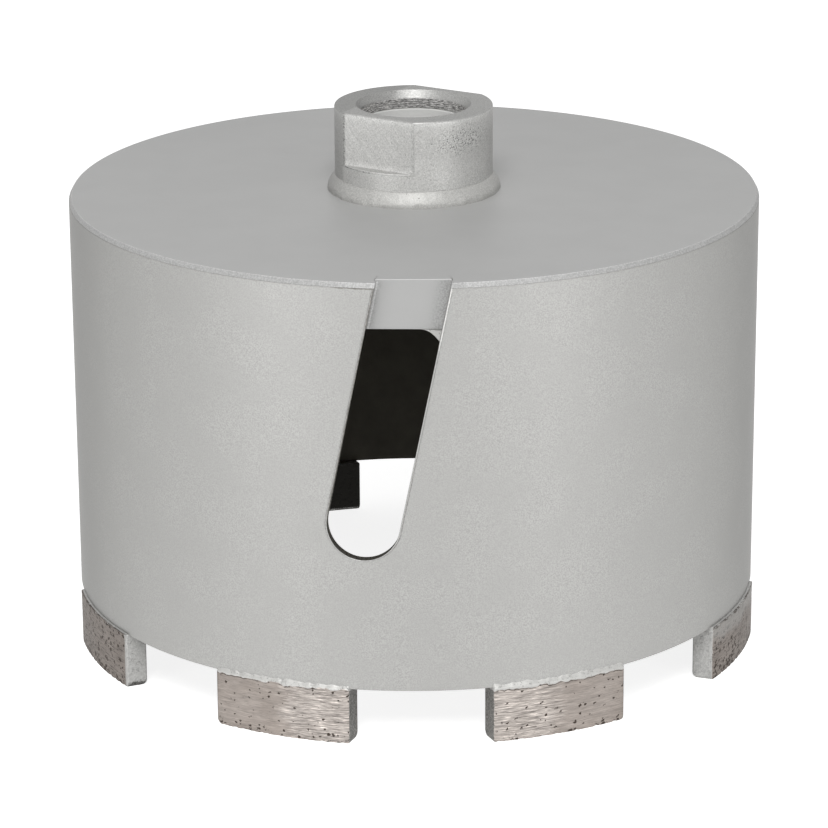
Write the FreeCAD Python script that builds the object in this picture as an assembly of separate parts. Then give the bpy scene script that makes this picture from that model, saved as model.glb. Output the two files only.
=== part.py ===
import FreeCAD, Part
import math
import os

from FreeCAD import Vector

# Diamond core bit: a slotted steel barrel with an end plate, a threaded hub and eight diamond segments.
# Millimetres, +Z up. The origin is on the bit's axis, level with the segments' tips, so the bit stands on
# z = 0 with its hub on top. Angles are in degrees round the axis, from the front (-Y) towards +X.

# Barrel tube
barrel_diameter = 131.0
barrel_wall = 2.0
barrel_length = 76.6            # from the cutting rim to the end plate's outer face

# End plate: a shoulder inside the barrel, and a thin lip that sits on the barrel's end
plate_thickness = 9.2
lip_thickness = 0.9
lip_lean = 0.5                  # how far the ground edge of the lip leans in
shoulder_clearance = 0.05       # between the shoulder and the barrel

# Hub: a round boss on the plate, with a spigot down through the plate's hole
hub_diameter = 30.0
hub_height = 16.3               # above the plate's outer face
hub_edge_round = 0.3
spigot_diameter = 26.0
spigot_clearance = 0.05         # between the spigot and the plate's hole
thread_crest_diameter = 18.631  # G 1/2 internal thread, over its crests
thread_mouth_diameter = 21.9    # of the bevel at each end of the bore

# Wrench flats on the hub
across_flats = 26.0
flat_length = 10.0              # down from the hub's top face
flat_corner_radius = 1.5
flat_side_run = 0.3             # how far the flat's cutter passes the hub's side
flat_angle = -31.7

# Weld bead round the hub's foot
hub_bead_width = 1.35
hub_bead_height = 3.0
hub_bead_toe = 0.9              # height of its steep toe

# Segments
segment_count = 8
segment_length = 26.4
segment_height = 10.5
segment_thickness = 4.0
segment_proud = 0.5             # how far a segment stands out past the barrel
first_segment_angle = 22.5
segment_drift = (0.6, 1.1, 0.0, 0.0, 0.0, 0.0, -0.3, -0.4)  # each one's angle off its even place
segment_tip_radius = 1.0        # rounding of the inner tip edge
segment_end_radius = 0.4        # rounding of the outer upright edges

# Slots: the cutter always points at the axis and stops just inside the barrel's wall
slot_count = 2
slot_width = 13.2
slot_slant = 11.7               # lean from upright, the top end towards +X on the front slot
slot_low_centre = 31.6          # height of the round end's centre above the cutting rim
slot_top_angle = -0.8           # where the first slot's centre line meets the plate's outer face
slot_floor_radius = 62.3        # the cutter's flat end, which leaves a flat in the plate's edge
slot_overrun = 6.0              # how far the cutter runs out, past the barrel's side and its end
slot_stations = 6               # places along the slot where the cutter's outline is set

# Weld stitches inside, between the plate's underside and the barrel, one from each slot to the next
stitch_leg = 2.6
stitch_overhang = 3.4           # how far a stitch's first end reaches into its slot
stitch_end_slope = 35.0         # fall of that end, from level
stitch_stop = 1.5               # gap from its last end to the next slot

# Sizes that follow from those above
barrel_radius = barrel_diameter / 2
barrel_inner_radius = barrel_radius - barrel_wall
rim_z = segment_height
plate_top_z = rim_z + barrel_length
plate_bottom_z = plate_top_z - plate_thickness
lip_bottom_z = plate_top_z - lip_thickness
shoulder_radius = barrel_inner_radius - shoulder_clearance
hub_radius = hub_diameter / 2
hub_top_z = plate_top_z + hub_height
spigot_radius = spigot_diameter / 2
plate_hole_radius = spigot_radius + spigot_clearance
thread_crest_radius = thread_crest_diameter / 2
thread_mouth_radius = thread_mouth_diameter / 2
flat_distance = across_flats / 2
segment_outer_radius = barrel_radius + segment_proud
segment_inner_radius = segment_outer_radius - segment_thickness
slot_low_z = rim_z + slot_low_centre
slot_pitch_angle = 360.0 / slot_count

AXIS_FOOT = Vector(0, 0, 0)
UP = Vector(0, 0, 1)


def outward(angle):
    """Level unit vector away from the axis at an angle."""
    turn = math.radians(angle)
    return Vector(math.sin(turn), -math.cos(turn), 0)


def sideways(angle):
    """Level unit vector square to outward, towards growing angles."""
    turn = math.radians(angle)
    return Vector(math.cos(turn), math.sin(turn), 0)


def turned(shape, angle):
    """Copy of a shape, turned round the bit's axis."""
    copy = shape.copy()
    copy.rotate(AXIS_FOOT, UP, angle)
    return copy


def revolved(edges, start_angle=0.0, sweep=360.0):
    """Solid from a closed outline in the plane of the axis and +X, turned from start_angle through sweep."""
    solid = Part.Face(Part.Wire(edges)).revolve(AXIS_FOOT, UP, sweep)
    return turned(solid, start_angle - 90.0)


def outline(points):
    """Closed run of straight edges through (radius, z) points."""
    corners = [Vector(radius, 0, z) for radius, z in points]
    return Part.makePolygon(corners + corners[:1]).Edges


def slot_angle(z):
    """Angle of the first slot's centre line at height z, a helix round the barrel."""
    fall = (plate_top_z - z) * math.tan(math.radians(slot_slant))
    return slot_top_angle - math.degrees(fall / barrel_radius)


def slot_edge_angle(z, side):
    """Angle of the first slot's edge at height z, on the side of growing (+1) or falling (-1) angles."""
    half_level_width = slot_width / 2 / math.cos(math.radians(slot_slant))
    return slot_angle(z) + side * math.degrees(half_level_width / barrel_radius)


def slot_station(z):
    """The cutter's outline at height z: square to the slot's run, and from its flat end to its run-out."""
    angle = slot_angle(z)
    slant = math.radians(slot_slant)
    across = sideways(angle) * math.cos(slant) - UP * math.sin(slant)
    run_out = barrel_radius + slot_overrun
    corners = [outward(angle) * radius + across * (side * slot_width / 2) + UP * z
               for side, radius in ((-1, slot_floor_radius), (1, slot_floor_radius), (1, run_out), (-1, run_out))]
    return Part.makePolygon(corners + corners[:1])


def make_slot_cutters():
    """For each slot, the slanted strip that follows the barrel and the round lower end."""
    rise = (plate_top_z + slot_overrun - slot_low_z) / (slot_stations - 1)
    strip = Part.makeLoft([slot_station(slot_low_z + rise * k) for k in range(slot_stations)], True)
    low_way = outward(slot_angle(slot_low_z))
    low_end = Part.makeCylinder(slot_width / 2, barrel_radius + slot_overrun - slot_floor_radius,
                                low_way * slot_floor_radius + UP * slot_low_z, low_way)
    return [turned(cutter, slot_pitch_angle * k) for k in range(slot_count) for cutter in (strip, low_end)]


def make_barrel(slot_cutters):
    """Tube from the cutting rim to the plate's lip, open along its slots."""
    tube = revolved(outline([(barrel_inner_radius, rim_z), (barrel_radius, rim_z),
                             (barrel_radius, lip_bottom_z), (barrel_inner_radius, lip_bottom_z)]))
    for cutter in slot_cutters:
        tube = tube.cut(cutter)
    return tube


def make_end_plate(slot_cutters):
    """Disc with its lip, its shoulder, the hub's hole and a flat where each slot's cutter ran."""
    plate = revolved(outline([(plate_hole_radius, plate_bottom_z), (shoulder_radius, plate_bottom_z),
                              (shoulder_radius, lip_bottom_z), (barrel_radius, lip_bottom_z),
                              (barrel_radius - lip_lean, plate_top_z), (plate_hole_radius, plate_top_z)]))
    for cutter in slot_cutters:
        plate = plate.cut(cutter)
    return plate


def make_flat_cutter():
    """What is milled off for one wrench flat on the front of the hub, with its lower corners rounded."""
    half_width = math.sqrt(hub_radius ** 2 - flat_distance ** 2) + flat_side_run
    box = Part.makeBox(2 * half_width, hub_radius, 2 * flat_length,
                       Vector(-half_width, -flat_distance - hub_radius, hub_top_z - flat_length))
    low_corners = [edge for edge in box.Edges
                   if abs(edge.CenterOfMass.z - (hub_top_z - flat_length)) < 1e-6
                   and abs(abs(edge.CenterOfMass.x) - half_width) < 1e-6]
    return box.makeFillet(flat_corner_radius, low_corners)


def make_hub():
    """Turned boss with its spigot, its through bore bevelled at both ends, and two wrench flats."""
    bevel = thread_mouth_radius - thread_crest_radius
    hub = revolved(outline([(thread_crest_radius, plate_bottom_z + bevel), (thread_mouth_radius, plate_bottom_z),
                            (spigot_radius, plate_bottom_z), (spigot_radius, plate_top_z),
                            (hub_radius, plate_top_z), (hub_radius, hub_top_z), (thread_mouth_radius, hub_top_z),
                            (thread_crest_radius, hub_top_z - bevel)]))
    top_edge = [edge for edge in hub.Edges if edge.BoundBox.ZMin > hub_top_z - 1e-6
                and edge.BoundBox.XMax > hub_radius - 1e-3]
    hub = hub.makeFillet(hub_edge_round, top_edge)
    for side in (0, 180):
        hub = hub.cut(turned(make_flat_cutter(), flat_angle + side))
    return hub


def make_hub_bead():
    """Ring of weld metal round the hub's foot: a steep toe, then a round back up to the hub."""
    root = Vector(hub_radius, 0, plate_top_z)
    foot = root + Vector(hub_bead_width, 0, 0)
    toe = foot + UP * hub_bead_toe
    crown = root + UP * hub_bead_height
    bulge = Vector((crown - toe).z, 0, -(crown - toe).x).normalize() * (hub_bead_width / 5)
    back = Part.Arc(toe, (toe + crown) * 0.5 + bulge, crown).toShape()
    return revolved([Part.makeLine(root, foot), Part.makeLine(foot, toe), back, Part.makeLine(crown, root)])


def make_stitch(first_angle, last_angle):
    """Three-cornered weld stitch in the corner under the plate, its first end falling away at a slope."""
    stitch = revolved(outline([(barrel_inner_radius, plate_bottom_z),
                               (barrel_inner_radius - stitch_leg, plate_bottom_z),
                               (barrel_inner_radius, plate_bottom_z - stitch_leg)]),
                      first_angle, last_angle - first_angle)
    reach = 4 * stitch_leg
    wedge = Part.makeBox(reach, 2 * reach, reach, Vector(-reach, -reach, -reach))
    wedge.rotate(AXIS_FOOT, Vector(0, 1, 0), -stitch_end_slope)
    wedge.translate(Vector(0, -barrel_inner_radius, plate_bottom_z))
    return stitch.cut(turned(wedge, first_angle))


def make_stitches():
    """One stitch from each slot round to the next."""
    overhang = math.degrees(stitch_overhang / barrel_inner_radius)
    stop = math.degrees(stitch_stop / barrel_inner_radius)
    first = slot_edge_angle(plate_bottom_z, 1) - overhang
    last = slot_edge_angle(plate_bottom_z, -1) + slot_pitch_angle - stop
    stitch = make_stitch(first, last)
    return [turned(stitch, slot_pitch_angle * k) for k in range(slot_count)]


def make_segment():
    """Curved block with level ends, its inner tip edge and its outer upright edges rounded, at the front."""
    ring = revolved(outline([(segment_inner_radius, 0), (segment_outer_radius, 0),
                             (segment_outer_radius, segment_height), (segment_inner_radius, segment_height)]))
    block = ring.common(Part.makeBox(segment_length, segment_outer_radius, segment_height,
                                     Vector(-segment_length / 2, -segment_outer_radius, 0)))
    tip_edge = [edge for edge in block.Edges if edge.BoundBox.ZMax < 1e-6
                and abs(math.hypot(edge.CenterOfMass.x, edge.CenterOfMass.y) - segment_inner_radius) < 0.7]
    block = block.makeFillet(segment_tip_radius, tip_edge)
    upright = [edge for edge in block.Edges if edge.BoundBox.ZLength > segment_height / 2
               and math.hypot(edge.CenterOfMass.x, edge.CenterOfMass.y) > segment_outer_radius - 1e-3]
    return block.makeFillet(segment_end_radius, upright)


def make_nodes():
    """Every piece of the bit by its name."""
    slot_cutters = make_slot_cutters()
    nodes = {
        "barrel_tube": make_barrel(slot_cutters),
        "end_plate": make_end_plate(slot_cutters),
        "threaded_hub": make_hub(),
        "hub_weld_bead": make_hub_bead(),
    }
    for k, stitch in enumerate(make_stitches(), start=1):
        nodes[f"plate_weld_{k}"] = stitch
    segment = make_segment()
    for k in range(segment_count):
        angle = first_segment_angle + 360.0 / segment_count * k + segment_drift[k % len(segment_drift)]
        nodes[f"segment_{k + 1}"] = turned(segment, angle)
    return nodes


os.makedirs("parts", exist_ok=True)
for name, shape in make_nodes().items():
    solid, = shape.Solids
    solid.exportStep(f"parts/{name}.step")
    print(name, "valid" if solid.isValid() else "INVALID", round(solid.Volume, 1))
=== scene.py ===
"""Diamond core bit: the dressed model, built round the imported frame.

Metres, +Z up, with the origin on the bit's axis, level with the segments' tips. Angles are radians round the
axis, from the front (-Y) towards +X, as in the frame's own nodes. Materials measure in millimetres.
"""
from __future__ import annotations

import logging
import math
from dataclasses import dataclass, field
from enum import Enum

import bmesh
import bpy
import numpy as np
from mathutils import Matrix, Vector

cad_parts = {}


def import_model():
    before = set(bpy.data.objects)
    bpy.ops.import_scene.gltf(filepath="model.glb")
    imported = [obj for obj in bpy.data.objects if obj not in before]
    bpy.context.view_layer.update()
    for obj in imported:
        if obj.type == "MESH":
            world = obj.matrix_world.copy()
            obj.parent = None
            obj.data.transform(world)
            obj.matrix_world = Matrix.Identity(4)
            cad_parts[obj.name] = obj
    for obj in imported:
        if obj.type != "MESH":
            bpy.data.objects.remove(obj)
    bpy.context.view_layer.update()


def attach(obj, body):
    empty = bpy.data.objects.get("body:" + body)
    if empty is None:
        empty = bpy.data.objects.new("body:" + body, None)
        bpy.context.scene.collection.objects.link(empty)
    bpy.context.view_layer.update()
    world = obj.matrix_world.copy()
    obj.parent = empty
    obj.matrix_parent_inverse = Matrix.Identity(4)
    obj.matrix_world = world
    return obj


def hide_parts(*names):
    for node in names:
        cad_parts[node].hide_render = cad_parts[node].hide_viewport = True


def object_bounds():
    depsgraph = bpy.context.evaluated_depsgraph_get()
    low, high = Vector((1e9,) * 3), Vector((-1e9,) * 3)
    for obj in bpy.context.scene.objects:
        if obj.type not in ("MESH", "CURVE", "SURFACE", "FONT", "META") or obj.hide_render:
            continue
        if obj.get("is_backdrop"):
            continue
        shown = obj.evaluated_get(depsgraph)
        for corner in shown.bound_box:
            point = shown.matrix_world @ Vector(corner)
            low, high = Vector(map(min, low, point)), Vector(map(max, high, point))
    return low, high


LOG = logging.getLogger("core_bit")
Array = np.ndarray
Colour = tuple[float, float, float]
# What a node's input takes, and several of them by name or number
Given = "Wire | float | tuple[float, ...]"
Inputs = "dict[str | int, Given]"
MM = 0.001
BODY = "root"
# Points of a mesh that round to the same steps of this length become one
MERGE = 2e-7
# Between these two values lies nearly all of a noise
SPREAD = (0.3, 0.7)
# Strength and tint of the clear gloss that all finishes have
GLOSS = 0.25
GLOSS_TINT = (0.45, 0.45, 0.45)


class Slot(Enum):
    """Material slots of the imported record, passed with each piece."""

    PAINT = "silver_paint"
    MATRIX = "segment_matrix"


def ring_point(angle: Array, radius: Array, height: Array) -> Array:
    """Points on circles round the axis: (r sin a, -r cos a, z).

    Args:
        angle: Angle round the axis.
        radius: Distance from the axis.
        height: Height above the tips.

    Returns:
        Points, with x, y and z along the last axis.
    """
    angle, radius, height = np.broadcast_arrays(angle, radius, height)
    return np.stack([radius * np.sin(angle), -radius * np.cos(angle), height], axis=-1)


def framed_point(centre: Array, out: Array, side: Array, height: Array) -> Array:
    """Points at a distance out along the ray at an angle, and a distance side square to it.

    Args:
        centre: Angle of the ray.
        out: Distance along the ray.
        side: Distance square to the ray, towards growing angles.
        height: Height above the tips.

    Returns:
        Points, with x, y and z along the last axis.
    """
    centre, out, side, height = np.broadcast_arrays(centre, out, side, height)
    x = out * np.sin(centre) + side * np.cos(centre)
    y = -out * np.cos(centre) + side * np.sin(centre)
    return np.stack([x, y, height], axis=-1)


def ripples(a: Array, b: Array, seed: int, wavelength: float, count: int = 14) -> Array:
    """Smooth unevenness: a sum of plane sine waves of near wavelengths and seeded directions, about -1 to 1.

    Args:
        a: First coordinate of each point.
        b: Second coordinate of each point.
        seed: Seed of the directions and phases.
        wavelength: Mean length of the waves, in the coordinates' unit.
        count: Number of waves.

    Returns:
        The sum at each point.
    """
    rng = np.random.default_rng(seed)
    turn = rng.uniform(0, math.pi, count)
    rate = 2 * math.pi / (wavelength * rng.uniform(0.6, 1.6, count))
    phase = rng.uniform(0, 2 * math.pi, count)
    a, b = np.broadcast_arrays(a, b)
    along = a[..., None] * np.cos(turn) + b[..., None] * np.sin(turn)
    return np.sin(along * rate + phase).sum(axis=-1) / math.sqrt(count)


def quarter(steps: int) -> Array:
    """Angles of a quarter turn, both ends in."""
    return np.linspace(0.0, math.pi / 2, steps + 1)


def rounded(radius: Array, height: Array, inward: Array, up: Array, steps: int) -> list[tuple[Array, Array]]:
    """A quarter round at a corner, from its wall to its flat.

    At an angle a the radius is less by inward times (1 - cos a), and the height more by up times (1 - sin a).

    Args:
        radius: Radius of the wall.
        height: Height of the flat.
        inward: Size of the round along the flat.
        up: Size of the round along the wall.
        steps: Number of steps.

    Returns:
        Radius and height of each point.
    """
    return [(radius - inward * (1 - math.cos(a)), height + up * (1 - math.sin(a))) for a in quarter(steps)]


@dataclass
class Skin:
    """Grids of points that are joined into one closed mesh.

    Args:
        name: Name of the piece.
        points: Points of each grid.
        quads: Corners of each grid's faces, counted over all points.
    """

    name: str
    points: list[Array] = field(default_factory=list)
    quads: list[Array] = field(default_factory=list)

    def add(self, grid: Array, wrap_columns: bool = False, wrap_rows: bool = False) -> None:
        """Adds the quads between the neighbours of a grid.

        Args:
            grid: Points by row and column.
            wrap_columns: The last column joins the first.
            wrap_rows: The last row joins the first.
        """
        rows, columns = grid.shape[:2]
        index = np.arange(rows * columns).reshape(rows, columns)
        if wrap_columns:
            index = np.concatenate([index, index[:, :1]], axis=1)
        if wrap_rows:
            index = np.concatenate([index, index[:1]], axis=0)
        corners = [index[:-1, :-1], index[:-1, 1:], index[1:, 1:], index[1:, :-1]]
        start = sum(len(p) for p in self.points)
        self.quads.append(np.stack(corners, axis=-1).reshape(-1, 4) + start)
        self.points.append(grid.reshape(-1, 3))

    def cap(self, end: Array, *shares: float) -> None:
        """Closes an end loop with smaller and smaller rings round its middle.

        Args:
            end: The loop's points.
            shares: Size of each ring after the loop itself, from the loop's size as 1 down to 0.
        """
        middle = end.mean(axis=0)
        rings = [middle + (end - middle) * share for share in shares]
        self.add(np.stack([end, *rings]), wrap_columns=True)

    def build(self, material: bpy.types.Material, crease: float = 40.0) -> bpy.types.Object:
        """Merges points that meet, drops faces of no area, turns all faces outwards and makes the object.

        Args:
            material: Finish of the whole piece.
            crease: Angle in degrees past which an edge stays sharp.

        Returns:
            The new object, at the origin.
        """
        points = np.concatenate(self.points)
        _, first, same = np.unique(np.round(points / MERGE), axis=0, return_index=True, return_inverse=True)
        faces = same.reshape(-1)[np.concatenate(self.quads)]
        kept = faces != np.roll(faces, -1, axis=1)
        total = kept.sum(axis=1)
        whole = (total > 2) & (faces[:, 0] != faces[:, 2]) & (faces[:, 1] != faces[:, 3])
        faces, kept, total = faces[whole], kept[whole], total[whole]
        mesh = bpy.data.meshes.new(self.name)
        mesh.vertices.add(len(first))
        mesh.vertices.foreach_set("co", points[first].astype(np.float32).ravel())
        corners = faces[kept].astype(np.int32)
        mesh.loops.add(len(corners))
        mesh.loops.foreach_set("vertex_index", corners)
        mesh.polygons.add(len(total))
        mesh.polygons.foreach_set("loop_start", (np.cumsum(total) - total).astype(np.int32))
        mesh.update(calc_edges=True)
        mesh.validate()
        body = bmesh.new()
        body.from_mesh(mesh)
        bmesh.ops.recalc_face_normals(body, faces=body.faces)
        body.to_mesh(mesh)
        body.free()
        mesh.polygons.foreach_set("use_smooth", np.ones(len(mesh.polygons), dtype=bool))
        mesh.set_sharp_from_angle(angle=math.radians(crease))
        mesh.materials.append(material)
        piece = bpy.data.objects.new(self.name, mesh)
        bpy.context.scene.collection.objects.link(piece)
        return piece


class Wire:
    """An output of a node, with Math nodes as plain arithmetic.

    Args:
        graph: The graph that it belongs to.
        socket: The node's output.
    """

    def __init__(self, graph: Graph, socket: bpy.types.NodeSocket) -> None:
        """Keeps both."""
        self.graph = graph
        self.socket = socket

    def other(self, name: str | int) -> Wire:
        """Another output of the same node."""
        return Wire(self.graph, self.socket.node.outputs[name])

    def __add__(self, other: Given) -> Wire:
        """The sum."""
        return self.graph.math("ADD", self, other)

    def __sub__(self, other: Given) -> Wire:
        """The difference."""
        return self.graph.math("SUBTRACT", self, other)

    def __rsub__(self, other: Given) -> Wire:
        """The difference, with this one taken away."""
        return self.graph.math("SUBTRACT", other, self)

    def __mul__(self, other: Given) -> Wire:
        """The product."""
        return self.graph.math("MULTIPLY", self, other)

    def __neg__(self) -> Wire:
        """The value with its sign turned."""
        return self * -1.0

    def __abs__(self) -> Wire:
        """The value without its sign."""
        return self.graph.math("ABSOLUTE", self)

    def largest(self, other: Given) -> Wire:
        """The larger of two values."""
        return self.graph.math("MAXIMUM", self, other)

    def step(self, low: Given, high: Given, start: Given = 0.0, end: Given = 1.0) -> Wire:
        """A smooth step of this value.

        Args:
            low: Value where the step starts.
            high: Value where it ends.
            start: Result at and below low.
            end: Result at and above high.

        Returns:
            The stepped value.
        """
        inputs = {"Value": self, "From Min": low, "From Max": high, "To Min": start, "To Max": end}
        return self.graph.wire("ShaderNodeMapRange", inputs, "Result", interpolation_type="SMOOTHSTEP")

    def fall(self, low: Given, high: Given, end: Given = 0.0) -> Wire:
        """A smooth step from 1 down to an end."""
        return self.step(low, high, 1.0, end)

    def band(self, low: float, high: Given, soft: float) -> Wire:
        """1 where this value lies between low and high, with ends as soft as given."""
        return self.step(low - soft, low) * self.fall(high, high + soft)

    def blend(self, a: Given, b: Given, data_type: str = "FLOAT") -> Wire:
        """A blend from one value to another, with this value as the share of the second."""
        inputs = {"Factor": self, "A": a, "B": b}
        return self.graph.wire("ShaderNodeMix", inputs, "Result", data_type=data_type)

    def mix(self, a: Given, b: Given) -> Wire:
        """A blend from one colour to another, with this value as the share of the second."""
        return self.blend(a, b, "RGBA")


class Graph:
    """A tree of nodes, put together by calls that each give a wire.

    Args:
        tree: The tree, whose first nodes are taken away.
    """

    def __init__(self, tree: bpy.types.NodeTree) -> None:
        """Empties the tree."""
        self.tree = tree
        tree.nodes.clear()

    def add(self, kind: str, inputs: Inputs, **settings: str | bool) -> bpy.types.Node:
        """Adds a node. A colour is cut or filled up to what the input holds.

        Args:
            kind: Its type.
            inputs: What each input is linked to or set to.
            settings: Its other settings.

        Returns:
            The node.
        """
        node = self.tree.nodes.new(kind)
        for name, value in settings.items():
            setattr(node, name, value)
        for name, value in inputs.items():
            socket = node.inputs[name]
            if isinstance(value, Wire):
                self.tree.links.new(value.socket, socket)
            elif isinstance(value, tuple):
                socket.default_value = (*value, 1.0)[:len(socket.default_value)]
            else:
                socket.default_value = value
        return node

    def wire(self, kind: str, inputs: Inputs, output: str | int = 0, **settings: str | bool) -> Wire:
        """Adds a node as add does, and gives one of its outputs."""
        return Wire(self, self.add(kind, inputs, **settings).outputs[output])

    def math(self, kind: str, *values: Given) -> Wire:
        """A Math node."""
        return self.wire("ShaderNodeMath", dict(enumerate(values)), operation=kind)

    def vector(self, kind: str, *values: Given) -> Wire:
        """A Vector Math node: a length or dot product gives a value, all else a vector."""
        output = "Value" if kind in ("LENGTH", "DOT_PRODUCT") else "Vector"
        return self.wire("ShaderNodeVectorMath", dict(enumerate(values)), output, operation=kind)

    def scaled(self, colour: Given, factor: Given) -> Wire:
        """A colour or vector times a value."""
        return self.wire("ShaderNodeVectorMath", {0: colour, "Scale": factor}, "Vector", operation="SCALE")


class Recipe(Graph):
    """A material's nodes. All its lengths are millimetres.

    Args:
        name: Name of the material.
    """

    def __init__(self, name: str) -> None:
        """Starts the material with the place, its distance from the axis and its x, y and height."""
        self.material = bpy.data.materials.new(name)
        self.material.use_nodes = True
        super().__init__(self.material.node_tree)
        self.place = self.scaled(self.wire("ShaderNodeTexCoord", {}, "Object"), 1 / MM)
        self.level = self.vector("LENGTH", self.stretched(1.0, 1.0, 0.0))
        self.x = self.wire("ShaderNodeSeparateXYZ", {0: self.place})
        self.y, self.z = self.x.other(1), self.x.other(2)

    def stretched(self, *rates: float) -> Wire:
        """The place times a rate on each axis, for grain that is drawn out along the low rates."""
        return self.vector("MULTIPLY", self.place, rates)

    def slot_side(self) -> Wire:
        """Distance from the nearest slot's centre line, square to it: below zero on its left.

        The centre line's angle falls in proportion to the drop below the plate's face. The two slots stand
        half a turn apart, so the angle of x over -y does for both.
        """
        slots = SlotRun()
        radius = slots.helix_radius / MM
        rate = math.tan(slots.slant) / radius
        angle = self.math("ARCTANGENT", self.math("DIVIDE", self.x, -self.y))
        centre = self.z * rate + (slots.top_angle - slots.top_z / MM * rate)
        return (angle - centre) * (radius * math.cos(slots.slant))

    def noise(self, size: float, detail: float = 2.0, at: Wire | None = None, rough: float = 0.5) -> Wire:
        """Noise of 0 to 1.

        Args:
            size: Size of its features.
            detail: Number of finer layers.
            at: Where it is read, or none for the place.
            rough: Share that each finer layer keeps.

        Returns:
            The noise, for which 0.3 to 0.7 is nearly all of its range.
        """
        inputs = {"Vector": at or self.place, "Scale": 1.0 / size, "Detail": detail, "Roughness": rough}
        return self.wire("ShaderNodeTexNoise", inputs, "Fac")

    def streaks(self, across: Wire, along: Wire, fine: float, length: float) -> Wire:
        """Noise that is fine across and long along a direction."""
        shares = {0: self.math("DIVIDE", across, fine), 1: self.math("DIVIDE", along, length)}
        return self.noise(1.0, at=self.wire("ShaderNodeCombineXYZ", shares))

    def finish(self, colour: Given, metallic: Given, roughness: Given, relief: Given,
               depth: float) -> bpy.types.Material:
        """Ends the recipe in one Principled shader with its bump.

        Args:
            colour: Base colour.
            metallic: Share of bare or flake metal.
            roughness: Roughness.
            relief: Height of the surface's grain, 0 to 1.
            depth: Depth of that grain.

        Returns:
            The material.
        """
        bump = self.wire("ShaderNodeBump", {"Height": relief, "Distance": depth * MM})
        shader = self.wire("ShaderNodeBsdfPrincipled", {
            "Base Color": colour, "Metallic": metallic, "Roughness": roughness, "Specular IOR Level": GLOSS,
            "Specular Tint": GLOSS_TINT, "Normal": bump})
        self.add("ShaderNodeOutputMaterial", {"Surface": shader})
        return self.material


@dataclass(frozen=True)
class SilverPaint:
    """Aluminium-pigment spray paint: fine flake grain over a slightly uneven coat.

    Args:
        colour: Base colour.
        metallic: Share of flake.
        roughness: Mean roughness.
        grain: Depth of the spray grain.
        speckle: Contrast of the grain's colour.
    """

    colour: Colour = (0.369, 0.367, 0.357)
    metallic: float = 0.88
    roughness: float = 0.42
    grain: float = 0.02
    speckle: float = 0.1

    def coat(self, recipe: Recipe) -> tuple[Wire, Wire, Wire]:
        """Colour, roughness and relief of the coat: its speckle is stronger in some clouds than in others."""
        fine = recipe.noise(0.24)
        cloud = recipe.noise(9.0, 3.0)
        dust = cloud.step(0.35, 0.65, 0.6, 1.3) * fine.step(*SPREAD, -self.speckle, self.speckle)
        shade = dust + cloud.step(*SPREAD, 0.988, 1.012)
        rough = fine.step(*SPREAD, -0.03, 0.03) + self.roughness
        return recipe.scaled(self.colour, shade), rough, fine


@dataclass(frozen=True)
class BarrelFinish:
    """Painted outside, dark inside, and bare cut faces in the slots.

    Args:
        paint: The coat outside.
        scale: Colour of the inner wall.
        cut: Colour of the slots' cut faces and of worn edges.
        wall: Inner and outer radius of the wall.
        half_slot: Half the slots' width.
        top: Height of the barrel's upper end.
        painted_from: Heights over which the cut faces turn from bare to painted.
        worn_from: Heights over which the worn line up each slot's left edge begins.
    """

    paint: SilverPaint = SilverPaint()
    scale: Colour = (0.135, 0.126, 0.104)
    cut: Colour = (0.15, 0.142, 0.124)
    wall: tuple[float, float] = (63.5, 65.5)
    half_slot: float = 6.6
    top: float = 86.2
    painted_from: tuple[float, float] = (75.5, 77.0)
    worn_from: tuple[float, float] = (42.5, 45.0)

    def make(self) -> bpy.types.Material:
        """The material, with its zones told apart by the distance from the axis and from the slots."""
        recipe = Recipe("barrel_finish")
        colour, rough, fine = self.paint.coat(recipe)
        level, z = recipe.level, recipe.z
        inner, outer = self.wall
        edge = recipe.noise(1.5)
        bare = (level + edge * 0.25).fall(outer - 0.22, outer - 0.05) * z.fall(*self.painted_from)
        inside = level.fall(inner + 0.02, inner + 0.25)
        dark = recipe.scaled(self.scale, recipe.noise(6.0, 4.0).step(0.25, 0.8, 0.85, 1.2))
        cut = recipe.scaled(self.cut, recipe.noise(0.35, 3.0).step(*SPREAD, 0.55, 1.45))
        colour = inside.mix(bare.mix(colour, cut), dark)
        # Worn line up the slot's left edge, and a dark seam under the plate that is strongest beside it
        side = recipe.slot_side()
        wander = recipe.noise(0.9, 3.0) * 0.3
        left = (side + wander).band(-self.half_slot - 0.02, -self.half_slot + 0.16, 0.06)
        left = left * z.step(*self.worn_from, 0.0, 0.75)
        seam = (z + edge * 0.5).step(self.top - 0.05, self.top + 0.2)
        seam = seam * abs(side + 10.0).step(2.5, 5.0, 0.75, 0.12)
        worn = level.step(outer - 0.1, outer - 0.02) * left.largest(seam)
        colour = worn.mix(colour, cut)
        # Painted highlight: the top of the slot's right edge made up to 1.6 times brighter
        painted_highlight = (side - wander).band(self.half_slot - 0.25, self.half_slot + 0.15, 0.05) * z.step(74.0, 77.0)
        colour = recipe.scaled(colour, painted_highlight.blend(1.0, 1.6))
        metallic = inside.blend(self.paint.metallic, 0.1)
        return recipe.finish(colour, metallic, bare.blend(rough, 0.62), fine, self.paint.grain)


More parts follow.
